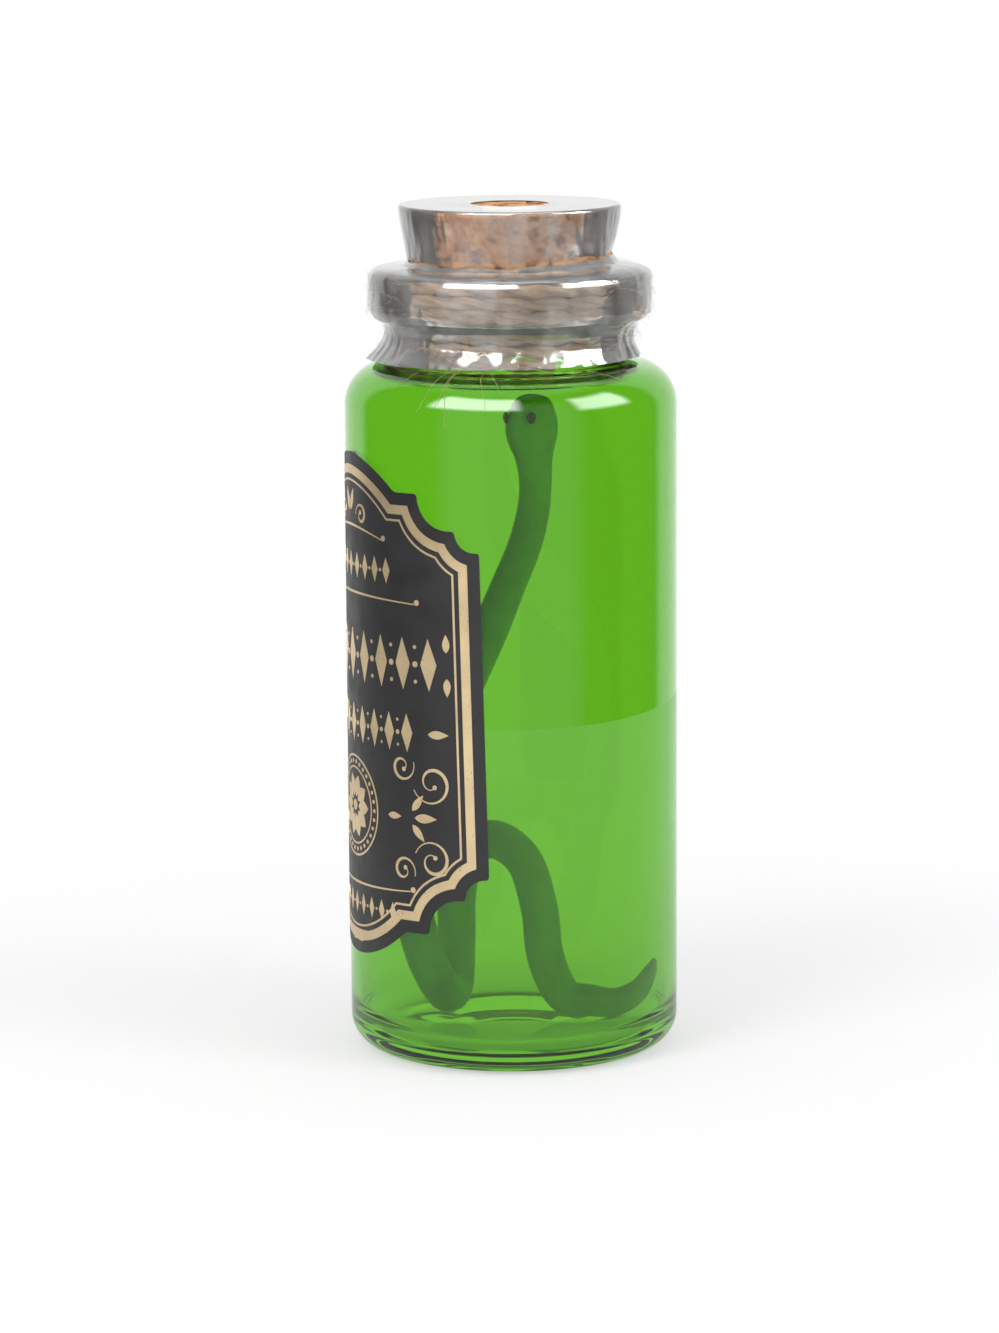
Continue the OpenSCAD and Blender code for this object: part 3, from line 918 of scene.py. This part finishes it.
class VIAL_OT_label(Operator):
    """Cuts the label, rounds its ears and wraps it on the glass"""
    bl_idname = "vial.label"
    bl_label = "Label"

    def execute(self, context):
        s = context.scene.vial_label
        outline = label_line(s, 0)
        select_none()
        bpy.ops.mesh.primitive_plane_add(size=MM, location=(*outline[0], 0))
        label = context.object
        label.name = "label_paper"
        bpy.ops.object.transform_apply()
        bpy.ops.object.mode_set(mode="EDIT")
        bpy.ops.mesh.merge(type="CENTER")
        for a, b in zip(outline, outline[1:]):
            bpy.ops.mesh.extrude_vertices_move(
                TRANSFORM_OT_translate={"value": (b[0] - a[0], b[1] - a[1], 0)})
        bpy.ops.mesh.select_all(action="SELECT")
        bpy.ops.mesh.edge_face_add()
        self.round_ears(label)
        reach = 0.55 * s.width
        for i in range(-27, 28):
            bpy.ops.mesh.select_all(action="SELECT")
            bpy.ops.mesh.bisect(plane_co=(reach * i / 27, 0, 0), plane_no=(1, 0, 0))
        bpy.ops.object.mode_set(mode="OBJECT")
        inner = BODY_R + 0.005 * MM
        move_points(label, lambda p: wrapped(s, p.x, p.y, inner))
        self.face_out(label)
        apply_modifier(label, "SOLIDIFY", thickness=s.thickness, offset=1.0,
                       use_even_offset=False, material_offset_rim=1)
        smooth(label, 30)
        finish_piece(label, paper_materials(s), "vial", ["label"])
        return {"FINISHED"}

    def round_ears(self, label):
        """Rounds the outline's sharp corners."""
        bpy.ops.mesh.select_all(action="DESELECT")
        bpy.ops.object.mode_set(mode="OBJECT")
        mesh = label.data
        (face,) = mesh.polygons
        corners = [mesh.vertices[i] for i in face.vertices]
        for before, corner, after in zip(corners[-1:] + corners[:-1], corners,
                                         corners[1:] + corners[:1]):
            bend = (corner.co - before.co).angle(after.co - corner.co, 0)
            corner.select = bend > math.radians(30)
        bpy.ops.object.mode_set(mode="EDIT")
        bpy.ops.mesh.select_mode(type="VERT")
        bpy.ops.mesh.bevel(affect="VERTICES", offset=0.55 * MM, segments=4)

    def face_out(self, label):
        """Turns the label's faces away from the glass."""
        face = label.data.polygons[0]
        if face.normal.dot(Vector((face.center.x, face.center.y, 0))) < 0:
            label.data.flip_normals()


class Print:
    """Gathers flat shapes of the label's print, in the label's own plane."""

    def __init__(self):
        self.points = []
        self.faces = []

    def shape(self, outline):
        """A filled shape with one face."""
        start = len(self.points)
        self.points += outline
        self.faces.append(tuple(range(start, start + len(outline))))

    def band(self, outer, inner, closed=True):
        """A band between two lines with as many points each."""
        start = len(self.points)
        number = len(outer)
        self.points += [*outer, *inner]
        for i in range(number if closed else number - 1):
            j = (i + 1) % number
            self.faces.append((start + i, start + j, start + number + j, start + number + i))

    def stroke(self, line, widths):
        """A pen stroke along a line, with its width at each point."""
        path = np.array(line)
        ahead = np.gradient(path, axis=0)
        ahead /= np.linalg.norm(ahead, axis=1)[:, None]
        aside = np.stack([-ahead[:, 1], ahead[:, 0]], 1) * (np.array(widths) / 2)[:, None]
        self.band([tuple(p) for p in path + aside], [tuple(p) for p in path - aside], False)

    def dot(self, x, y, radius):
        """A round dot."""
        angles = [math.tau * i / 12 for i in range(12)]
        self.shape([(x + radius * math.cos(a), y + radius * math.sin(a)) for a in angles])

    def lozenge(self, x, y, wide, high):
        """A lozenge."""
        self.shape([(x + wide / 2, y), (x, y + high / 2), (x - wide / 2, y), (x, y - high / 2)])


class VIAL_OT_print(Operator):
    """Prints the gold frame and the ornaments on the label"""
    bl_idname = "vial.print"
    bl_label = "Print"

    def execute(self, context):
        s = context.scene.vial_label
        flat = Print()
        self.frame_lines(flat, s)
        self.rules(flat)
        self.friezes(flat)
        self.rosette(flat)
        for side in (-1, 1):
            self.sprays(flat, side)
        mesh = bpy.data.meshes.new("label_print")
        top = BODY_R + 0.005 * MM + s.thickness + s.foil
        mesh.from_pydata([wrapped(s, x, y, top) for x, y in flat.points], [], flat.faces)
        piece = bpy.data.objects.new("label_print", mesh)
        context.scene.collection.objects.link(piece)
        self.face_out(mesh)
        apply_modifier(piece, "SOLIDIFY", thickness=s.foil * 1.8, offset=-1.0,
                       use_even_offset=False)
        finish_piece(piece, [gold_material(PrintColours(s))], "vial")
        return {"FINISHED"}

    def face_out(self, mesh):
        """Turns every face away from the glass."""
        for face in mesh.polygons:
            if face.normal.dot(Vector((face.center.x, face.center.y, 0))) < 0:
                face.flip()
        mesh.update()

    def frame_lines(self, flat, s):
        """A broad band round the label and a fine line inside it."""
        for outer, inner in ((1.75, 3.05), (3.75, 4.05)):
            flat.band(label_line(s, outer * MM), label_line(s, inner * MM))

    def rules(self, flat):
        """Level rules with a bead at each end."""
        for y, half, bow in ((24.2, 9.5, 1.4), (15.6, 15.5, 0.5), (-25.2, 13.5, -0.4),
                             (-31.6, 8.0, -1.0)):
            line = [(half * t / 8 * MM, (y + bow * (1 - (t / 8) ** 2)) * MM) for t in range(-8, 9)]
            widths = [(0.16 + 0.22 * (1 - abs(t) / 8)) * MM for t in range(-8, 9)]
            flat.stroke(line, widths)
            for side in (-1, 1):
                flat.dot(side * (half + 0.45) * MM, (y + 0.25) * MM, 0.42 * MM)

    def friezes(self, flat):
        """Rows of lozenges and beads."""
        for y, high, wide, step, number in ((20.0, 3.6, 1.5, 2.6, 4), (7.2, 7.4, 2.6, 4.4, 4),
                                            (-2.6, 5.4, 2.0, 3.4, 4), (-28.6, 3.0, 1.3, 2.5, 4)):
            for i in range(-number, number + 1):
                x = i * step * MM
                flat.lozenge(x, y * MM, wide * MM, high * MM)
                if i < number:
                    middle = x + step / 2 * MM
                    flat.dot(middle, y * MM, wide * 0.17 * MM)
                    if high > 4:
                        for side in (-1, 1):
                            flat.dot(middle, (y + side * high * 0.33) * MM, wide * 0.11 * MM)

    def rosette(self, flat):
        """A round medallion: petals in a ring of beads."""
        middle = -14.6 * MM
        petals = 10
        for i in range(petals):
            a = math.tau * i / petals
            tip, root, wide = 4.6 * MM, 1.3 * MM, 1.05 * MM
            outline = []
            for t in range(9):
                share_ = t / 8
                outline.append((root + (tip - root) * share_, wide * math.sin(math.pi * share_)))
            outline += [(r, -w) for r, w in reversed(outline[1:-1])]
            flat.shape([(r * math.cos(a) - w * math.sin(a),
                         middle + r * math.sin(a) + w * math.cos(a)) for r, w in outline])
        flat.dot(0, middle, 0.8 * MM)
        beads = 30
        for i in range(beads):
            a = math.tau * i / beads
            flat.dot(6.3 * MM * math.cos(a), middle + 6.3 * MM * math.sin(a), 0.3 * MM)
        for inner, outer in ((5.35, 5.6), (7.0, 7.3)):
            ring = [[(r * MM * math.cos(math.tau * i / 64), middle + r * MM *
                      math.sin(math.tau * i / 64)) for i in range(64)] for r in (outer, inner)]
            flat.band(*ring)

    def scroll(self, flat, x, y, size_, start, turns, way):
        """A spiral stroke that swells and ends in a bead."""
        steps = 34
        line, widths = [], []
        for i in range(steps + 1):
            t = i / steps
            r = size_ * (1 - 0.78 * t) * MM
            a = math.radians(start) + way * turns * math.tau * t
            line.append((x * MM + r * math.cos(a), y * MM + r * math.sin(a)))
            widths.append((0.14 + 0.36 * math.sin(math.pi * min(1, t * 1.15)) ** 2) * MM)
        flat.stroke(line, widths)
        flat.dot(*line[-1], 0.34 * MM)

    def leaf(self, flat, x, y, long, wide, degrees):
        """A pointed leaf."""
        a = math.radians(degrees)
        outline = []
        for t in range(9):
            share_ = t / 8
            outline.append((long * share_, wide / 2 * math.sin(math.pi * share_ ** 0.8)))
        outline += [(u, -w) for u, w in reversed(outline[1:-1])]
        flat.shape([((x + u * math.cos(a) - w * math.sin(a)) * MM,
                     (y + u * math.sin(a) + w * math.cos(a)) * MM) for u, w in outline])

    def sprays(self, flat, side):
        """Scrolls and leaves on one half of the label."""
        mirrored = Print()
        self.scroll(mirrored, 17.6, -9.5, 3.2, 200, 1.3, 1)
        self.scroll(mirrored, 12.6, -7.4, 2.2, 20, 1.2, -1)
        self.scroll(mirrored, 17.4, -20.6, 3.0, 160, 1.3, -1)
        self.scroll(mirrored, 12.4, -22.2, 2.1, 340, 1.2, 1)
        self.scroll(mirrored, 4.2, 27.2, 1.7, 180, 1.2, -1)
        self.leaf(mirrored, 14.6, -14.6, 3.6, 1.3, 0)
        self.leaf(mirrored, 14.2, -13.6, 3.0, 1.1, 50)
        self.leaf(mirrored, 14.2, -15.6, 3.0, 1.1, -50)
        self.leaf(mirrored, 9.6, -14.6, 2.6, 1.0, 180 - 180)
        self.leaf(mirrored, 20.4, 9.0, 2.6, 1.1, 90)
        self.leaf(mirrored, 20.4, 5.4, 2.6, 1.1, 270)
        self.leaf(mirrored, 17.2, -2.6, 3.2, 1.2, 0)
        self.leaf(mirrored, 0.3, 27.6, 3.4, 1.2, 68)
        self.leaf(mirrored, 0.5, -33.2, 2.6, 0.9, 200)
        start = len(flat.points)
        flat.points += [(side * x, y) for x, y in mirrored.points]
        flat.faces += [tuple(start + i for i in face) for face in mirrored.faces]


class PrintColours:
    """The two colours that the gold print needs."""

    def __init__(self, s):
        self.gold = tuple(s.gold)
        self.paper_shade = tuple(s.paper)


class VIAL_OT_film(Operator):
    """Shrinks the film over the cork and over the lip and neck"""
    bl_idname = "vial.film"
    bl_label = "Film"

    def execute(self, context):
        s = context.scene.vial_film
        material = film_material(s)
        cap = self.cap(context, s)
        skirt = self.skirt(context, s)
        for piece, body, node in ((cap, "stopper", "film_cap"), (skirt, "vial", "film_skirt")):
            apply_modifier(piece, "SOLIDIFY", thickness=s.thickness, offset=1.0,
                           use_even_offset=False)
            smooth(piece, 60)
            finish_piece(piece, [material], body, [node])
        return {"FINISHED"}

    def cork_r(self, context, z):
        """Radius of the cork at a height."""
        cork = context.scene.vial_cork
        return cork_high.x + (z - (cork_high.z - cork.bevel)) * cork.taper

    def cap(self, context, s):
        """The film on the cork's side and top."""
        tear = LIP_TOP + s.tear_up + 0.3 * MM
        top = cork_high.z + s.clearance / 2
        low_r = self.cork_r(context, tear) + s.clearance
        top_r = self.cork_r(context, cork_high.z) + s.clearance
        outline = [(low_r, tear), (top_r, cork_high.z - 0.25 * MM),
                   (top_r - 0.2 * MM, top - 0.02 * MM), (top_r - 0.5 * MM, top),
                   (s.hole_radius, top)]
        cap = lathe("film_on_cork", filled_in(outline, 0.35 * MM), 256)

        def wrinkled(p):
            a = math.atan2(p.x, -p.y)
            out = Vector((p.x, p.y, 0)).normalized()
            side = min(1.0, max(0.0, (top - p.z) / (1.2 * MM)))
            folds = noise.noise(Vector((a * 9, p.z / (7 * MM), 3)))
            fine = noise.noise(Vector((a * 22, p.z / (3 * MM), 8)))
            edge = 0.9 * MM * noise.noise(Vector((a * 2.2, 0, 5))) + 1.3 * MM * max(0, math.sin(a))
            low = max(0.0, 1 - (p.z - tear) / (3 * MM))
            grow = s.wrinkle * (abs(folds) * 1.1 + abs(fine) * 0.5) * side
            sink = 0.03 * MM * abs(fine) * (1 - side)
            moved = p + out * grow - Vector((0, 0, sink))
            moved.z += max(0.0, edge) * low
            return moved

        move_points(cap, wrinkled)
        return cap

    def skirt(self, context, s):
        """The film from the cork's foot over the lip and the neck to its loose hem."""
        glass = context.scene.vial_glass
        twine = context.scene.vial_twine
        lip_low = glass.shoulder_top + glass.neck_height
        lip_r = glass.lip_radius + twine.thickness + s.clearance
        neck_r = glass.neck_radius + twine.thickness + s.clearance
        tear = LIP_TOP + s.tear_up
        low = glass.shoulder_top
        outline = [(neck_r + 0.9 * MM, low + 0.5 * MM), (neck_r + 0.5 * MM, low + 1.6 * MM),
                   (neck_r, low + 3.0 * MM), (neck_r, low + 4.4 * MM),
                   (glass.lip_radius - 0.2 * MM, lip_low - 1.0 * MM),
                   (glass.lip_radius + 1.2 * MM, lip_low - 0.1 * MM),
                   (lip_r - 0.15 * MM, lip_low + 1.0 * MM), (lip_r, lip_low + 2.2 * MM),
                   (lip_r, LIP_TOP - 1.0 * MM), (lip_r - 0.35 * MM, LIP_TOP - 0.1 * MM),
                   (lip_r - 1.0 * MM, LIP_TOP + 0.32 * MM), (lip_r - 2.0 * MM, LIP_TOP + 0.5 * MM),
                   (self.cork_r(context, tear) + 1.0 * MM, LIP_TOP + 0.75 * MM),
                   (self.cork_r(context, tear) + s.clearance, tear)]
        skirt = lathe("film_on_lip", filled_in(outline, 0.35 * MM), 256)

        def wrinkled(p):
            a = math.atan2(p.x, -p.y)
            out = Vector((p.x, p.y, 0)).normalized()
            left = 0.5 - 0.5 * math.sin(a)
            below = max(0.0, (lip_low - p.z) / (lip_low - low))
            flare = 2.2 * MM * left ** 1.5 * below ** 2
            folds = noise.noise(Vector((a * 7, p.z / (5 * MM), 1)))
            fine = noise.noise(Vector((a * 20, p.z / (2.2 * MM), 6)))
            fold = s.wrinkle * (abs(folds) + 0.5 * abs(fine)) * (1 + 2.5 * below)
            above = max(0.0, min(1.0, (p.z - LIP_TOP - 0.3 * MM) / (1 * MM)))
            lift = above * (0.5 * MM * max(0.0, noise.noise(Vector((a * 2.2, 0, 5))))
                            + 0.9 * MM * max(0.0, math.sin(a)))
            hem = 0.8 * MM * max(0.0, 0.4 - below) * 0
            moved = p + out * (flare + fold)
            moved.z += lift + hem + 0.5 * MM * (1 - left) * max(0.0, below - 0.75) * 4
            return moved

        move_points(skirt, wrinkled)
        return skirt


SNAKE_ROUTE = [
    (3.2, -6.6, 95.4, 0.7, 0.6), (3.1, -6.5, 94.6, 2.2, 1.7), (3.0, -6.3, 92.6, 3.2, 2.4),
    (2.9, -6.1, 90.2, 3.8, 2.6), (3.0, -5.9, 88.0, 3.6, 2.5), (3.2, -5.6, 85.4, 2.7, 2.4),
    (3.4, -5.0, 82.0, 2.3, 2.3), (3.1, -3.4, 77.6, 2.3, 2.3), (1.8, -0.6, 72.0, 2.4, 2.4),
    (-0.5, 3.2, 65.8, 2.5, 2.5), (-3.2, 6.8, 58.8, 2.7, 2.7), (-7.0, 9.4, 50.2, 2.8, 2.8),
    (-11.0, 9.4, 41.0, 2.8, 2.8), (-14.0, 6.4, 31.5, 2.8, 2.8), (-14.9, 1.6, 22.0, 2.8, 2.8),
    (-12.9, -1.9, 13.4, 2.8, 2.8), (-10.0, -0.8, 7.3, 2.8, 2.8), (-8.7, 3.6, 7.4, 2.8, 2.8),
    (-8.4, 6.4, 13.2, 2.8, 2.8), (-8.2, 7.6, 20.4, 2.8, 2.8), (-6.6, 7.6, 26.2, 2.8, 2.8),
    (-2.6, 6.4, 28.0, 2.8, 2.8), (1.6, 4.4, 25.2, 2.7, 2.7), (3.7, 2.6, 18.8, 2.7, 2.7),
    (4.6, 1.2, 11.8, 2.7, 2.7), (7.2, 0.2, 6.4, 2.6, 2.6), (11.2, -0.2, 5.6, 2.3, 2.3),
    (14.8, -0.2, 5.4, 2.0, 2.0), (17.9, 0.0, 7.0, 1.6, 1.6), (19.8, 0.2, 9.8, 1.0, 1.0),
    (20.5, 0.3, 11.6, 0.3, 0.3),
]


def through(points, steps):
    """A smooth line through points of any size, with this many steps between two of them."""
    points = np.array(points, float)
    ends = np.vstack([points[0], points, points[-1]])
    t = np.arange(steps)[:, None] / steps
    line = []
    for a, b, c, d in zip(ends, ends[1:], ends[2:], ends[3:]):
        line.append(b + (c - a) * t / 2 + (a - 2.5 * b + 2 * c - d / 2) * t ** 2
                    + (1.5 * (b - c) + (d - a) / 2) * t ** 3)
    return np.vstack([*line, points[-1:]])


class VIAL_OT_snake(Operator):
    """Models the rubber snake along its route, with scales and painted eyes"""
    bl_idname = "vial.snake"
    bl_label = "Snake"

    def execute(self, context):
        s = context.scene.vial_snake
        stations = through(SNAKE_ROUTE, 24) * MM
        path = stations[:, :3]
        head = 14 * MM

        def scales(along, angles):
            row = along / (1.15 * MM)
            column = angles * s.scales / math.tau
            wave = np.cos(math.pi * (row + column)) * np.cos(math.pi * (row - column))
            grown = np.clip((along - head * 0.3) / (4 * MM), 0.25, 1)
            return s.relief * grown * (np.abs(wave) ** 0.6 - 0.6)

        strands = Strands()
        strands.add(path, stations[:, 3], stations[:, 4], 48,
                    (math.cos(math.radians(20)), math.sin(math.radians(20)), 0), scales)
        snake = strands.build("rubber_snake_body")
        finish_piece(snake, [rubber_material(s)], "snake", ["rubber_snake"])
        paint = eye_material(s)
        for name, spot, width in (("snake_eye_left", (-0.7, -7.6, 91.3), 0.8),
                                  ("snake_eye_right", (2.6, -8.6, 91.4), 0.92)):
            self.eye(name, Vector(spot) * MM, width * MM, paint)
        return {"FINISHED"}

    def eye(self, name, spot, radius, paint):
        """A low dome of paint that faces away from the head's middle."""
        select_none()
        bpy.ops.mesh.primitive_uv_sphere_add(segments=24, ring_count=12, radius=radius)
        eye = bpy.context.object
        eye.name = name
        out = (spot - Vector((2.95, -6.2, 91.3)) * MM).normalized()
        turned = out.to_track_quat("Z", "Y").to_matrix()
        flat = Matrix.Diagonal((1, 1.1, 0.4))
        move_points(eye, lambda p: spot + turned @ (flat @ p))
        smooth(eye)
        finish_piece(eye, [paint], "snake")


class VIAL_PT_panel(Panel):
    """Lists the vial's pieces in the 3D view's sidebar"""
    bl_label = "Corked vial"
    bl_idname = "VIAL_PT_panel"
    bl_space_type = "VIEW_3D"
    bl_region_type = "UI"
    bl_category = "Vial"

    def draw(self, context):
        for operator in OPERATORS:
            self.layout.operator(operator.bl_idname)
        for name in SETTINGS:
            settings = getattr(context.scene, name)
            box = self.layout.box()
            for key in settings.__annotations__:
                box.prop(settings, key)


SETTINGS = {
    "vial_stage": StageSettings,
    "vial_glass": GlassSettings,
    "vial_cork": CorkSettings,
    "vial_twine": TwineSettings,
    "vial_label": LabelSettings,
    "vial_film": FilmSettings,
    "vial_snake": SnakeSettings,
}
OPERATORS = (VIAL_OT_stage, VIAL_OT_glass, VIAL_OT_cork, VIAL_OT_twine, VIAL_OT_label,
             VIAL_OT_print, VIAL_OT_film, VIAL_OT_snake)


def register():
    """Registers the settings, the operators and the panel."""
    for name, group in SETTINGS.items():
        bpy.utils.register_class(group)
        setattr(bpy.types.Scene, name, PointerProperty(type=group))
    for operator in OPERATORS:
        bpy.utils.register_class(operator)
    bpy.utils.register_class(VIAL_PT_panel)


def unregister():
    """Takes the panel, the operators and the settings out again."""
    bpy.utils.unregister_class(VIAL_PT_panel)
    for operator in reversed(OPERATORS):
        bpy.utils.unregister_class(operator)
    for name, group in SETTINGS.items():
        delattr(bpy.types.Scene, name)
        bpy.utils.unregister_class(group)


def main():
    """Makes every piece in turn."""
    register()
    bpy.ops.vial.stage()
    bpy.ops.vial.glass()
    bpy.ops.vial.cork()
    bpy.ops.vial.twine()
    bpy.ops.vial.label()
    bpy.ops.vial.print()
    bpy.ops.vial.film()
    bpy.ops.vial.snake()


if __name__ == "__main__":
    main()
